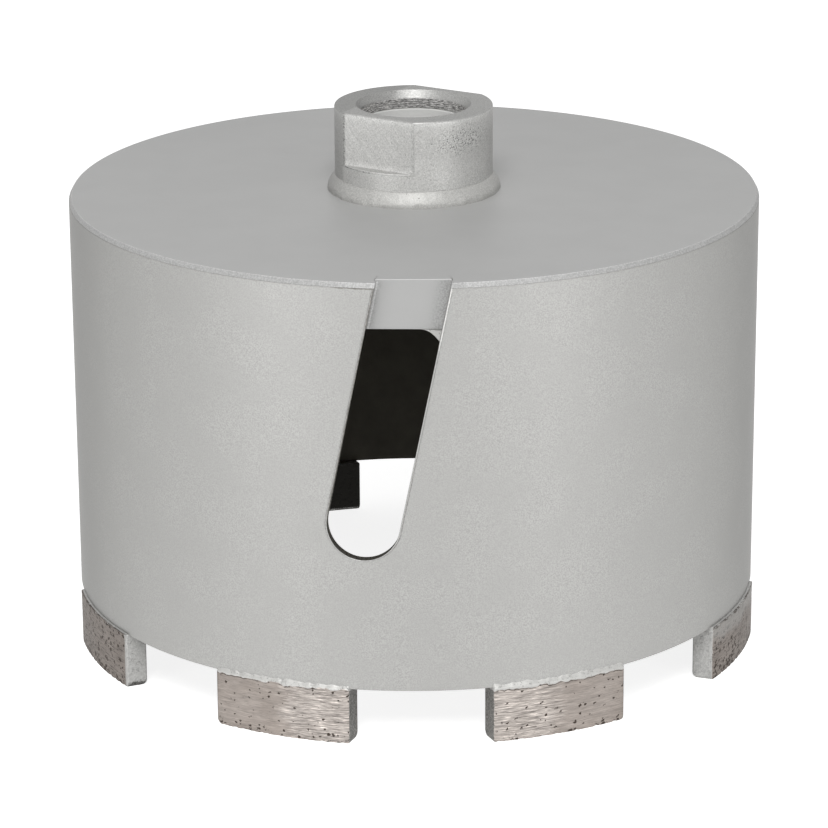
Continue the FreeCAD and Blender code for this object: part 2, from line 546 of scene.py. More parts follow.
@dataclass(frozen=True)
class PlateFinish:
    """Painted end plate whose underside is dark.

    Args:
        paint: The coat.
        under: Colour of the underside.
        low: Height of the underside.
        lip_low: Height of the lip's foot.
        top: Height of the outer face.
        half_slot: Half the slots' width.
    """

    paint: SilverPaint = SilverPaint((0.546, 0.546, 0.54), 0.3, 0.5, 0.006, 0.012)
    under: Colour = (0.03, 0.028, 0.023)
    low: float = 77.9
    lip_low: float = 86.2
    top: float = 87.1
    half_slot: float = 6.6

    def make(self) -> bpy.types.Material:
        """The material, with the underside, the lip and the slots' recesses told apart by their place."""
        recipe = Recipe("plate_finish")
        colour, rough, fine = self.paint.coat(recipe)
        level, z = recipe.level, recipe.z
        edge = recipe.noise(0.9)
        grit = recipe.noise(0.3, 3.0)
        side = recipe.slot_side()
        # Lip: ground uneven and duller beside the slot's right edge. Painted shade makes every face below the
        # top darker than the top, and painted light makes the lip brighter away from the front
        lip = level.step(64.75, 64.9) * z.step(self.lip_low - 0.1, self.lip_low)
        uneven = grit.step(0.35, 0.65, -0.14, 0.08) + abs(recipe.x + 8.0).step(6.0, 32.0, -0.05, 0.08)
        fade = lip * side.band(self.half_slot, self.half_slot + 1.8, 0.9)
        # Painted shade: faces below the top face get 0.815 of its colour
        wall = z.step(self.top - 0.15, self.top - 0.05, 0.815, 1.0) - fade * 0.1
        colour = recipe.scaled(colour, wall + lip * uneven)
        # Recess: a painted highlight in its left corner, and specks along both borders
        recess = level.band(62.0, 64.4, 0.1) * z.fall(self.top - 0.35, self.top - 0.2)
        painted_highlight = recess * side.band(-self.half_slot, 0.3 - self.half_slot, 0.06)
        colour = recipe.scaled(colour, painted_highlight.blend(1.0, 1.45))
        border = recess * (edge - side).step(5.6, 7.2).largest((side + edge).step(4.0, 7.2))
        colour = recipe.scaled(colour, 1.0 - border * grit.step(0.4, 0.62, 0.0, 0.26))
        colour = z.fall(self.low + 0.02, self.low + 0.07).mix(colour, self.under)
        return recipe.finish(colour, self.paint.metallic, rough, fine, self.paint.grain)


@dataclass(frozen=True)
class HubFinish:
    """Painted hub with milled flats, a rough patch on its side and bare metal in the bore's first turn.

    Args:
        paint: The coat.
        bare: Colour of the bare metal.
        lit: Colour of the bore below the bare band: painted light, for the light from below that fills it.
        radius: Radius of the hub.
        flat_angle: Angle of the front flat, in degrees.
        flat_distance: Distance of the flats from the axis.
        flat_half: Half the flats' width.
        ledge: Height of the flats' lower end.
        patch_angle: Angle of the rough patch, in degrees.
        patch_height: Height of its middle.
        bare_heights: Lowest and highest height of the bare band.
        brush: Share of the milling's run that goes across and up the flat.
    """

    paint: SilverPaint = SilverPaint((0.56, 0.558, 0.544), 0.5, 0.42, 0.03)
    bare: Colour = (0.24, 0.236, 0.232)
    lit: Colour = (0.9, 0.9, 0.88)
    radius: float = 15.0
    flat_angle: float = -31.7
    flat_distance: float = 13.0
    flat_half: float = 7.5
    ledge: float = 93.4
    patch_angle: float = 37.5
    patch_height: float = 99.2
    bare_heights: tuple[float, float] = (100.1, 101.93)
    brush: tuple[float, float] = (0.78, 0.62)

    def make(self) -> bpy.types.Material:
        """The material: paint outside, then the flats with their chipped borders, then the bore."""
        recipe = Recipe("hub_finish")
        colour, rough, fine = self.paint.coat(recipe)
        level, z = recipe.level, recipe.z
        turn = math.radians(self.flat_angle)
        facing = recipe.vector("DOT_PRODUCT", recipe.place, (math.sin(turn), -math.cos(turn), 0.0))
        across = recipe.vector("DOT_PRODUCT", recipe.place, (math.cos(turn), math.sin(turn), 0.0))
        # Sandy paint, coarser and pitted near the patch; painted shade darkens the round side near the patch
        # and left of the front flat
        spot = math.radians(self.patch_angle)
        centre = (self.radius * math.sin(spot), -self.radius * math.cos(spot), self.patch_height)
        offset = recipe.vector("MULTIPLY", recipe.vector("SUBTRACT", recipe.place, centre), (1.0, 1.0, 2.6))
        away = recipe.vector("LENGTH", offset)
        near = away.fall(2.0, 9.0)
        speck = recipe.noise(0.26, 3.0, rough=0.65)
        sand = near.blend(1.0, 0.96) + speck.step(0.35, 0.65, -1.0, 1.0) * near.blend(0.11, 0.28)
        sand = sand - speck.step(near.blend(0.3, 0.36), near.blend(0.34, 0.46), 0.5, 0.0)
        painted_shade = away.step(5.0, 17.0, 0.89, 1.0) * across.step(-8.3, -7.5, 0.8, 1.0)
        colour = recipe.scaled(colour, sand * painted_shade)
        # Milled flats, brushed both ways, with chips along their borders; painted shade makes the chips
        # darker on the left
        flat = abs(abs(facing) - self.flat_distance).fall(0.02, 0.06)
        along, up = self.brush
        run = across * along + z * up
        cross = across * up - z * along
        brushed = recipe.streaks(run, cross, 0.22, 6.0) * 0.7 + recipe.streaks(cross, run, 0.25, 5.0) * 0.3
        colour = recipe.scaled(colour, flat.blend(1.0, brushed.step(*SPREAD, 0.9, 1.1)))
        border = abs(across).band(self.flat_half - 0.15, self.flat_half + 0.2, 0.3)
        border = border * z.step(self.ledge - 0.4, self.ledge + 0.2)
        below = (z + speck * 0.4).band(self.ledge - 0.1, self.ledge + 0.05, 0.1)
        chips = border.largest(below) * abs(facing).step(self.flat_distance - 0.5, self.flat_distance - 0.2)
        # Painted shade: chips darker left of the flat's middle than right of it
        shade = across.step(-1.0, 1.0, 0.34, 0.62)
        colour = recipe.scaled(colour, (chips * speck.step(0.44, 0.58)).blend(1.0, shade))
        # Top face and bevel painted darker as shade, then the bore: a bare band, painted light below it and
        # dark thread below that
        colour = recipe.scaled(colour, recipe.math("MINIMUM", z.fall(103.12, 103.2, 0.8),
                                                   level.step(10.9, 11.0, 0.76, 1.0)))
        low, high = self.bare_heights
        bore = level.fall(10.4, 10.6)
        # Painted light: the bore below the bare band is near white and not metallic
        lit = bore * z.fall(low - 0.1, low)
        colour = lit.mix(colour, self.lit)
        band = z.step(low - 0.08, low) * z.fall(high - 0.05, high + 0.1) * bore
        swirl = recipe.noise(0.5, 3.0, recipe.stretched(0.6, 0.6, 3.6), 0.7)
        colour = band.mix(colour, recipe.scaled(self.bare, swirl.step(0.36, 0.66, 0.6, 3.9)))
        colour = (z.fall(94.2, 95.6) * bore).mix(colour, recipe.scaled(self.bare, 0.7))
        relief = band.blend(flat.blend(fine, brushed), swirl)
        return recipe.finish(colour, lit.blend(self.paint.metallic, 0.0), rough, relief, self.paint.grain)


@dataclass(frozen=True)
class WeldFinish:
    """Painted weld metal with dark specks that the paint missed.

    Args:
        name: Name of the material.
        specks: How much of the surface is specks, 0 to 1.
        paint: The coat.
        dark: Colour of the specks.
    """

    name: str
    specks: float = 0.3
    paint: SilverPaint = SilverPaint((0.47, 0.467, 0.452), 0.4, 0.5, 0.05, 0.12)
    dark: Colour = (0.1, 0.094, 0.085)

    def make(self) -> bpy.types.Material:
        """The material, greyer on the far left."""
        recipe = Recipe(self.name)
        colour, rough, fine = self.paint.coat(recipe)
        colour = recipe.scaled(colour, recipe.x.step(-17.0, -11.0, 0.84, 1.0))
        missed = recipe.noise(0.5, 3.0).step(0.78 - 0.2 * self.specks, 0.84 - 0.2 * self.specks)
        colour = missed.mix(colour, self.dark)
        relief = fine + recipe.noise(1.4) * 1.5
        return recipe.finish(colour, self.paint.metallic, rough, relief, self.paint.grain)


@dataclass(frozen=True)
class SegmentFinish:
    """Sintered metal: ground outside with level streaks and dark pits, painted at its top and raw elsewhere.

    Args:
        paint: The coat that laps over the segment's top.
        ground: Colour of the ground face.
        warm: The duller, warmer part of it, darker partly as painted shade where the face turns away from the
            front.
        lap_coat: Colour of the thick paint over the joint.
        raw: Colour of the faces that are neither ground nor painted.
        pit: Colour of the pits.
        scale: Colour of the inner face: painted shade, near black.
        face: Radius of the ground face.
        back: Radius of the inner face.
        pit_pitch: Mean distance from pit to pit.
        lap_from: Height plus wander from which the paint laps over.
    """

    paint: SilverPaint = SilverPaint()
    ground: Colour = (0.395, 0.36, 0.334)
    warm: Colour = (0.285, 0.252, 0.228)
    lap_coat: Colour = (0.57, 0.566, 0.548)
    raw: Colour = (0.2, 0.195, 0.185)
    pit: Colour = (0.06, 0.048, 0.04)
    scale: Colour = (0.022, 0.021, 0.018)
    face: float = 66.0
    back: float = 62.0
    pit_pitch: float = 0.72
    lap_from: float = 10.83

    def make(self) -> bpy.types.Material:
        """The material: the ground face, then the raw ends and the back painted near black as shade, then the
        paint's lap over all.
        """
        recipe = Recipe("segment_finish")
        coat, coat_rough, fine = self.paint.coat(recipe)
        level, z = recipe.level, recipe.z
        angle = abs(recipe.math("ARCTAN2", recipe.x, -recipe.y))
        cloud = recipe.noise(5.0, 3.0)
        dull_and_shaded = (angle + cloud * 0.1).step(0.4, 0.48)
        flank = angle.step(0.7, 0.8)
        right = recipe.x.step(0.0, 1.0)
        # Ground face: streaks, broad bands and hairs along the cut, calmer where it is dull; the dull part,
        # away from the front, is darker partly as painted shade, and the flanks are painted darker still as
        # shade
        streak = recipe.noise(1.0, 3.0, recipe.stretched(0.3, 0.3, 6.5), 0.68)
        broad = recipe.noise(1.0, at=recipe.stretched(0.12, 0.12, 1.1))
        hair = recipe.noise(1.0, at=recipe.stretched(0.42, 0.42, 6.0), rough=0.6)
        ground = (dull_and_shaded * 0.75 + cloud.step(0.4, 0.7, 0.0, 0.25)).mix(self.ground, self.warm)
        # The last factor is painted shade that darkens the flanks' ground faces
        for factor in (streak.step(*SPREAD, -1.0, 1.0) * dull_and_shaded.blend(0.44, 0.12) + 1.0,
                       broad.step(*SPREAD, 0.92, 1.08),
                       hair.step(0.34, 0.44, flank.blend(dull_and_shaded.blend(0.55, 0.78), 0.4), 1.0),
                       hair.step(0.57, 0.66, 1.0, dull_and_shaded.blend(1.7, 1.15)),
                       flank.blend(1.0, 0.78)):
            ground = recipe.scaled(ground, factor)
        # Pits: scattered points of random size, larger near the tip and on the flanks
        bent = recipe.vector("ADD", recipe.place, recipe.scaled((1.0, 1.0, 1.0), recipe.noise(0.5)))
        bent = recipe.vector("MULTIPLY", bent, (0.8, 0.8, 1.0))
        cells = {"Vector": bent, "Scale": 1.0 / self.pit_pitch}
        distance = recipe.wire("ShaderNodeTexVoronoi", cells, "Distance")
        chance = recipe.vector("DOT_PRODUCT", distance.other("Color"), (1.0, 0.0, 0.0))
        size = chance.step(0.52, 1.0, 0.0, 0.34) + (z + cloud * 6.0).step(3.4, 5.2, 0.23, 0.0) + flank * 0.2
        pits = (size - distance).step(0.0, 0.08)
        ground = pits.mix(ground, self.pit)
        # Raw ends: sprayed on the flanks, down to a ragged foot on the left; the coat there is brightened as
        # painted light
        wander = recipe.noise(2.2, 3.0) * 1.6
        foot = z + wander - recipe.noise(0.35, 3.0) * 1.8
        sprayed = flank * foot.step(right.blend(0.5, -3.0), right.blend(0.75, -2.7))
        raw = recipe.scaled(self.raw, recipe.noise(0.35, 4.0, rough=0.7).step(0.35, 0.65, 0.5, 1.5))
        raw = recipe.scaled(raw, flank.blend(1.0, 0.5))
        raw = sprayed.mix(raw, recipe.scaled(coat, recipe.noise(0.5, 3.0).step(*SPREAD, 1.22, 1.46)))
        # Painted shade: the inner face near black, for the shade behind the segments
        raw = level.fall(self.back + 0.03, self.back + 0.08).mix(raw, self.scale)
        # Paint on the flanks' ground faces: a film high on the right, and a strip at the left one's near edge
        film = (z + cloud * 5.0).step(8.5, 11.5, 0.0, 0.5) * right
        strip = (angle + recipe.noise(0.7, 3.0) * 0.006).step(0.992, 0.996, 0.9, 0.0)
        ground = (flank * film.largest(strip)).mix(ground, recipe.scaled(coat, 1.1))
        outside = level.step(self.face - 0.2, self.face - 0.08)
        colour = outside.mix(raw, ground)
        # Lap of paint with a dark line under it, lower on the left, thin and patchy on the flanks
        reach = z + wander - (recipe.x.step(-4.0, 4.0, 0.22, 0.0) + flank * 0.3)
        line = reach.band(self.lap_from - 0.1, flank.blend(self.lap_from + 0.04, self.lap_from + 0.68), 0.1)
        line = line * recipe.noise(1.6, 3.0).step(0.42, 0.56, 0.15, 0.85)
        colour = (line * outside).mix(colour, self.pit)
        painted = reach.step(self.lap_from, self.lap_from + 0.18)
        crack = recipe.noise(0.4, 4.0, rough=0.7).step(0.34, 0.44, 0.55, 1.0)
        thin = recipe.noise(0.45, 3.0).step(0.46, 0.6, 0.0, 0.8)
        colour = (painted * flank.blend(1.0, thin)).mix(colour, recipe.scaled(self.lap_coat, crack))
        coated = painted.largest(sprayed * (1.0 - outside))
        relief = outside.blend(fine, streak) - pits * 2.5
        return recipe.finish(colour, coated.blend(0.75, 0.35), coated.blend(0.42, coat_rough), relief, 0.05)


@dataclass
class SlotRun:
    """The slanted slots: strips that follow a helix up the barrel, each with a round lower end.

    Args:
        width: Width square to the run.
        slant: Lean from upright.
        low_z: Height of the round end's centre.
        top_z: Height of the plate's outer face.
        top_angle: Angle of the first slot's centre line at top_z.
        helix_radius: Radius at which the slant is measured.
        floor_radius: Distance from the axis of the cutter's flat end.
        count: Number of slots.
    """

    width: float = 13.2 * MM
    slant: float = math.radians(11.7)
    low_z: float = 42.1 * MM
    top_z: float = 87.1 * MM
    top_angle: float = math.radians(-0.8)
    helix_radius: float = 65.5 * MM
    floor_radius: float = 62.3 * MM
    count: int = 2

    @property
    def pitch(self) -> float:
        """Angle from one slot to the next."""
        return 2 * math.pi / self.count

    def centre(self, station: Array) -> Array:
        """Angle of the centre line at a station's height: falls in proportion to the drop below top_z."""
        return self.top_angle - (self.top_z - station) * math.tan(self.slant) / self.helix_radius

    def sides(self, grow: float = 0.0) -> tuple[float, float]:
        """How far a side stands off the centre line, level and upright, when the slot is widened by grow."""
        half = self.width / 2 + grow
        return half * math.cos(self.slant), half * math.sin(self.slant)

    def outline(self, radius: float, grow: float, top: float, side_steps: int,
                round_steps: int) -> tuple[Array, Array]:
        """The slot's edge on a cylinder: down its left side, round its end and up its right side.

        A point of the cutter's side stands half the width off the centre line, square to the slanted run; the
        cylinder cuts it where out squared plus sideways squared is the radius squared.

        Args:
            radius: Radius of the cylinder.
            grow: How far outside the slot the line runs.
            top: Height where both sides start.
            side_steps: Points along each side.
            round_steps: Points round the end.

        Returns:
            Angles and heights of the points.
        """
        half = self.width / 2 + grow
        lean, fall = self.sides(grow)
        tau = np.linspace(0, math.pi, round_steps)
        left = np.linspace(top, self.low_z + fall, side_steps)
        right = np.linspace(self.low_z - fall, top, side_steps)
        stations = np.concatenate([left[:-1] - fall, np.full(round_steps, self.low_z), right[1:] + fall])
        sideways = np.concatenate([np.full(side_steps - 1, -lean), -half * np.cos(tau - self.slant),
                                   np.full(side_steps - 1, lean)])
        heights = np.concatenate([left[:-1], self.low_z - half * np.sin(tau - self.slant), right[1:]])
        return self.centre(stations) + np.arctan2(sideways, np.sqrt(radius ** 2 - sideways ** 2)), heights


@dataclass
class Barrel:
    """Tube with its two slots, every edge softly rounded.

    Args:
        slots: The slots.
        radius: Outer radius.
        wall: Thickness.
        rim_z: Height of the cutting rim.
        top_z: Height where the plate's lip sits on it.
        edge: Rounding of its edges.
        bend_steps: Steps round each edge.
        side_steps: Points along each side of a slot.
        round_steps: Points round a slot's end.
        spread_steps: Rows from a slot's edge to its sector's border.
        crowding: Power by which those rows crowd towards the slot.
        last_share: Share of the way at which the last row before the edge stands.
    """

    slots: SlotRun
    radius: float = 65.5 * MM
    wall: float = 2.0 * MM
    rim_z: float = 10.5 * MM
    top_z: float = 86.2 * MM
    edge: float = 0.13 * MM
    bend_steps: int = 4
    side_steps: int = 56
    round_steps: int = 145
    spread_steps: int = 50
    crowding: float = 1.7
    last_share: float = 0.003

    def mirrored(self, radius: float) -> float:
        """The radius as far inside the wall's middle as a radius is outside it."""
        return 2 * self.radius - self.wall - radius

    def border(self) -> Array:
        """Angles along the rim from one border of the first slot's sector to the other."""
        middle = float(self.slots.centre((self.slots.low_z + self.top_z) / 2))
        half = self.slots.pitch / 2
        return middle + np.linspace(-half, half, self.round_steps)

    def profile(self) -> list[tuple[float, float, float]]:
        """Radius, growth and share of the way to the border: from outside, through the edge, to inside."""
        shares = np.linspace(1.0, 0.0, self.spread_steps) ** self.crowding
        shares = np.concatenate([shares[:-1], [self.last_share, 0.0]])
        rows = [(self.radius, self.edge, share) for share in shares]
        bend = rounded(self.radius, 0.0, self.edge, self.edge, self.bend_steps)
        rows += [(radius, grow, 0.0) for radius, grow in bend[1:]]
        return rows + [(self.mirrored(radius), grow, share) for radius, grow, share in reversed(rows)]

    def sector(self, turn: float) -> Array:
        """One slot's half of the wall: each point of the slot's edge runs out to its own point of the border.

        Args:
            turn: Angle that the sector is turned by.

        Returns:
            Points by row of the profile and by place along the slot's edge.
        """
        low = self.rim_z + self.edge
        down = np.linspace(self.top_z, low, self.side_steps)
        border_z = np.concatenate([down[:-1], np.full(self.round_steps, low), down[::-1][1:]])
        border_angle = np.pad(self.border(), self.side_steps - 1, mode="edge")
        rows = []
        for radius, grow, share in self.profile():
            angle, height = self.slots.outline(radius, grow, self.top_z, self.side_steps, self.round_steps)
            rows.append(ring_point(angle + (border_angle - angle) * share + turn, radius,
                                   height + (border_z - height) * share))
        return np.stack(rows)

    def rim(self) -> Array:
        """The cutting rim: from the outer wall through two rounded edges to the inner wall, once round."""
        angles = np.concatenate([self.border()[:-1] + self.slots.pitch * k for k in range(self.slots.count)])
        outer = rounded(self.radius, self.rim_z, self.edge, self.edge, self.bend_steps)
        inside = [(self.mirrored(radius), height) for radius, height in reversed(outer)]
        return np.stack([ring_point(angles, *place) for place in outer + inside])

    def build(self, material: bpy.types.Material) -> bpy.types.Object:
        """The barrel's piece."""
        skin = Skin("Barrel_shell")
        for k in range(self.slots.count):
            grid = self.sector(self.slots.pitch * k)
            skin.add(grid)
            half = len(grid) // 2
            for column in (grid[:, 0], grid[:, -1]):
                skin.add(np.stack([column[:half], column[::-1][:half]]))
        skin.add(self.rim(), wrap_columns=True)
        return skin.build(material)


@dataclass
class EndPlate:
    """Disc that closes the barrel: a thin lip on the barrel's end, a shoulder inside it and the slots' flats.

    Args:
        slots: The slots.
        lip_radius: Radius of the lip at its foot.
        lip_lean: How far its ground edge leans in.
        lip_z: Height of the lip's foot.
        bottom_z: Height of the underside.
        shoulder_radius: Radius inside the barrel.
        hole_radius: Radius of the hub's hole.
        edge: Rounding of the edges.
        arc_steps: Steps along the arc between the slots.
        wall_steps: Points down each side wall of a slot.
        flat_steps: Points over its flat, without those of the walls.
        calm_radius: Radius inside which the flat faces' columns are plain rays.
        calm_sweep: Angle that a slot's columns take up there.
    """

    slots: SlotRun
    lip_radius: float = 65.5 * MM
    lip_lean: float = 0.5 * MM
    lip_z: float = 86.2 * MM
    bottom_z: float = 77.9 * MM
    shoulder_radius: float = 63.45 * MM
    hole_radius: float = 13.05 * MM
    edge: float = 0.12 * MM
    arc_steps: int = 180
    wall_steps: int = 6
    flat_steps: int = 23
    calm_radius: float = 56.0 * MM
    calm_sweep: float = math.radians(15.0)

    def columns(self, height: float, arc: float, grow: float) -> Array:
        """The plate's outline at a height: for each slot its left wall, flat and right wall, then the arc.

        Args:
            height: Height of the cut.
            arc: Radius between the slots.
            grow: How far the slots are widened and deepened, for rounded edges.

        Returns:
            Level points, once round.
        """
        slots = self.slots
        lean, fall = slots.sides(grow)
        floor = slots.floor_radius - grow
        reach = math.sqrt(arc ** 2 - lean ** 2)
        across = np.linspace(-1, 1, self.flat_steps + 2)[1:-1]
        across = np.pad(across, self.wall_steps, constant_values=(-1, 1))
        wall = np.linspace(reach, floor, self.wall_steps)
        out = np.concatenate([wall, np.full(self.flat_steps, floor), wall[::-1]])
        slot = framed_point(slots.centre(height + across * fall), out, across * lean, height)
        first = float(slots.centre(height - fall)) - math.atan2(lean, reach) + slots.pitch
        last = float(slots.centre(height + fall)) + math.atan2(lean, reach)
        angles = np.linspace(last, first, self.arc_steps + 1)[1:-1]
        share = np.concatenate([slot, ring_point(angles, arc, height)])
        turns = [np.array([[math.cos(a), math.sin(a), 0], [-math.sin(a), math.cos(a), 0], [0, 0, 1]])
                 for a in (slots.pitch * k for k in range(slots.count))]
        return np.concatenate([share @ turn for turn in turns])

    def row(self, height: float, arc: float, grow: float, share: float) -> Array:
        """An outline drawn in over a flat face.

        On the calm ring the columns stand at even angles, so none of them cross beside a slot's corner.

        Args:
            height: Height of the face.
            arc: Radius between the slots.
            grow: How far the slots are widened and deepened.
            share: 0 for the outline, 1 for the calm ring and 2 for the hole's edge.

        Returns:
            Level points, once round.
        """
        line = self.columns(height, arc, grow)
        start = float(self.slots.centre(height)) - self.calm_sweep / 2
        past, stop = start + self.calm_sweep, start + self.slots.pitch
        slot = np.linspace(start, past, 2 * self.wall_steps + self.flat_steps + 1)[:-1]
        one = np.concatenate([slot, np.linspace(past, stop, self.arc_steps)[:-1]])
        angles = np.concatenate([one + self.slots.pitch * k for k in range(self.slots.count)])
        radius = self.calm_radius + (self.hole_radius - self.calm_radius) * max(share - 1.0, 0.0)
        return line + (ring_point(angles, radius, height) - line) * min(share, 1.0)

    def build(self, material: bpy.types.Material) -> bpy.types.Object:
        """The plate's piece: its outline carried over the top, down the lip and shoulder, and to the hole."""
        top, edge = self.slots.top_z, self.edge

        def lip(height: float) -> float:
            """Radius of the ground edge at a height."""
            return self.lip_radius - self.lip_lean * (height - self.lip_z) / (top - self.lip_z)

        tight = edge * 0.35
        rows = [(top, lip(top) - tight, edge, share) for share in (2.0, 1.8, 1.5, 1.2, 1.0, 0.5, 0.1, 0.01)]
        for a in quarter(4):
            height = top - edge * (1 - math.cos(a))
            rows.append((height, lip(height) - tight * (1 - math.sin(a)), edge * (1 - math.sin(a)), 0.0))
        rows += [(height, lip(height), 0.0, 0.0)
                 for height in np.linspace(top - edge - 0.02 * MM, self.lip_z + 0.06 * MM, 4)]
        rows.append((self.lip_z, self.lip_radius - 0.05 * MM, 0.0, 0.0))
        rows.append((self.lip_z, self.shoulder_radius, 0.0, 0.0))
        rows += [(height, self.shoulder_radius, 0.0, 0.0)
                 for height in np.linspace(self.lip_z - 0.05 * MM, self.bottom_z + edge, 7)]
        foot = self.shoulder_radius
        bend = rounded(foot, self.bottom_z, edge, edge, 4)
        rows += [(height, radius, foot - radius, 0.0) for radius, height in bend[1:]]
        rows += [(self.bottom_z, foot - edge, edge, share) for share in (0.01, 0.3, 1.0, 1.5, 2.0)]
        skin = Skin("End_plate_disc")
        skin.add(np.stack([self.row(*row) for row in rows]), wrap_columns=True, wrap_rows=True)
        return skin.build(material)


@dataclass
class Hub:
    """Round boss with two wrench flats, a spigot through the plate and a bevelled, threaded bore.

    Args:
        foot_z: Height of the plate's outer face.
        top_z: Height of the hub's top face.
        bottom_z: Height of the spigot's end.
        radius: Radius of the boss.
        spigot_radius: Radius of the spigot.
        flat_distance: Distance of the flats from the axis.
        flat_length: Length of the flats, down from the top face.
        flat_corner: Radius of the flats' lower corners.
        flat_run: How far the flats' cutter passes the boss's side.
        flat_angle: Angle of the front flat.
        crest: Radius over the thread's crests.
        root: Radius at the thread's root.
        mouth: Radius of the bevel at each end of the bore.
        entry: Radius of the turned stretch above the thread.
        thread_pitch: Rise of the thread in one turn.
        flat_share: Share of half a pitch that the crest and the root are each flat for.
        plain: Depths between which the bore is plain.
        edge: Break of the top edge.
    """

    foot_z: float = 87.1 * MM
    top_z: float = 103.4 * MM
    bottom_z: float = 77.9 * MM
    radius: float = 15.0 * MM
    spigot_radius: float = 13.0 * MM
    flat_distance: float = 13.0 * MM
    flat_length: float = 10.0 * MM
    flat_corner: float = 1.5 * MM
    flat_run: float = 0.3 * MM
    flat_angle: float = math.radians(-31.7)
    crest: float = 9.3155 * MM
    root: float = 10.478 * MM
    mouth: float = 10.95 * MM
    entry: float = 9.95 * MM
    thread_pitch: float = 1.814 * MM
    flat_share: float = 0.2
    plain: tuple[float, float] = (3.3 * MM, 7.5 * MM)
    edge: float = 0.3 * MM

    def angles(self) -> tuple[Array, Array]:
        """Angles round the hub, and each one's angle from the middle of the nearest flat."""
        half = math.acos(self.flat_distance / self.radius)
        on = np.linspace(-half, half, 41)
        off = np.linspace(half, math.pi - half, 89)[1:-1]
        from_flat = np.concatenate([on, off, on, off])
        angle = np.concatenate([on, off, on + math.pi, off + math.pi]) + self.flat_angle
        from_flat = np.where(from_flat > math.pi / 2, from_flat - math.pi, from_flat)
        return angle, from_flat

    def bore(self, angle: Array, depth: Array) -> Array:
        """Radius of the bore: the widest of the thread, the plain stretch and the two 45-degree bevels.

        The thread's radius swings between crest and root with the depth less the angle's share of a pitch.

        Args:
            angle: Angle round the axis.
            depth: Depth below the top face.

        Returns:
            Radius at each point.
        """
        phase = (depth / self.thread_pitch - angle / (2 * math.pi)) % 1.0
        swing = np.clip((1 - np.abs(2 * phase - 1) - self.flat_share) / (1 - 2 * self.flat_share), 0, 1)
        start, end = self.plain
        below = np.clip((depth - end) / (0.5 * self.thread_pitch), 0, 1)
        thread = self.crest + (self.root - self.crest) * swing * below
        groove = 0.3 * MM * np.exp(-((depth - start - 0.14 * MM) / (0.1 * MM)) ** 2)
        turning = 0.012 * MM * np.sin(depth / (0.42 * MM) * 2 * math.pi) * (depth < start)
        radius = np.where(depth > end, thread, self.entry + groove + turning)
        total = self.top_z - self.bottom_z
        bevel = np.maximum(self.mouth - 0.72 * depth, self.mouth - (total - depth))
        return np.maximum(radius, bevel)

    def build(self, material: bpy.types.Material) -> bpy.types.Object:
        """The hub's piece: its outer profile carried round with the flats, then the bore's grid."""
        angle, from_flat = self.angles()
        half = math.acos(self.flat_distance / self.radius) + 1e-9
        on = np.abs(from_flat) <= half
        face = np.where(on, self.flat_distance / np.cos(np.where(on, from_flat, 0.0)), self.radius)
        width = self.radius - face
        side = np.abs(self.flat_distance * np.tan(np.where(on, from_flat, half)))
        start = math.sqrt(self.radius ** 2 - self.flat_distance ** 2) + self.flat_run - self.flat_corner
        past = np.clip(side - start, 0, self.flat_corner)
        ledge = self.top_z - self.flat_length + self.flat_corner - np.sqrt(self.flat_corner ** 2 - past ** 2)
        # The ledge under a flat is rounded by soft outside and hollow inside, and less so where it is narrow
        soft, hollow = np.minimum(0.1 * MM, 0.4 * width), np.minimum(0.3 * MM, 0.4 * width)
        rows = [(self.spigot_radius - 0.2 * MM, self.bottom_z),
                (self.spigot_radius, self.bottom_z + 0.2 * MM),
                (self.spigot_radius, self.foot_z),
                (self.radius, self.foot_z),
                (self.radius, self.foot_z + 3 * MM),
                (self.radius, ledge - soft - 0.3 * MM)]
        rows += rounded(self.radius, ledge, soft, -soft, 3)
        rows += [(face + hollow * (1 - math.sin(a)), ledge + hollow * (1 - math.cos(a))) for a in quarter(4)]
        for share in (0.1, 0.5, 0.9):
            rows.append((face, ledge + hollow + (self.top_z - self.edge - ledge - hollow) * share))
        rows += rounded(face, self.top_z, self.edge, -self.edge, 3)
        rows += [(face - self.edge - 0.15 * MM, self.top_z), (self.mouth + 0.12 * MM, self.top_z)]
        outer = np.stack([ring_point(angle, radius, height) for radius, height in rows])
        total = self.top_z - self.bottom_z
        depth = np.unique(np.concatenate([np.linspace(0, 1.7 * MM, 9),
                                          np.linspace(1.7 * MM, 4.2 * MM, 50),
                                          np.linspace(4.2 * MM, 7.4 * MM, 6),
                                          np.linspace(7.4 * MM, total, 132)]))[:, None]
        inner = ring_point(angle, self.bore(angle, depth), self.top_z - depth)
        skin = Skin("Threaded_hub_boss")
        skin.add(np.concatenate([outer, inner]), wrap_columns=True, wrap_rows=True)
        return skin.build(material, crease=50.0)


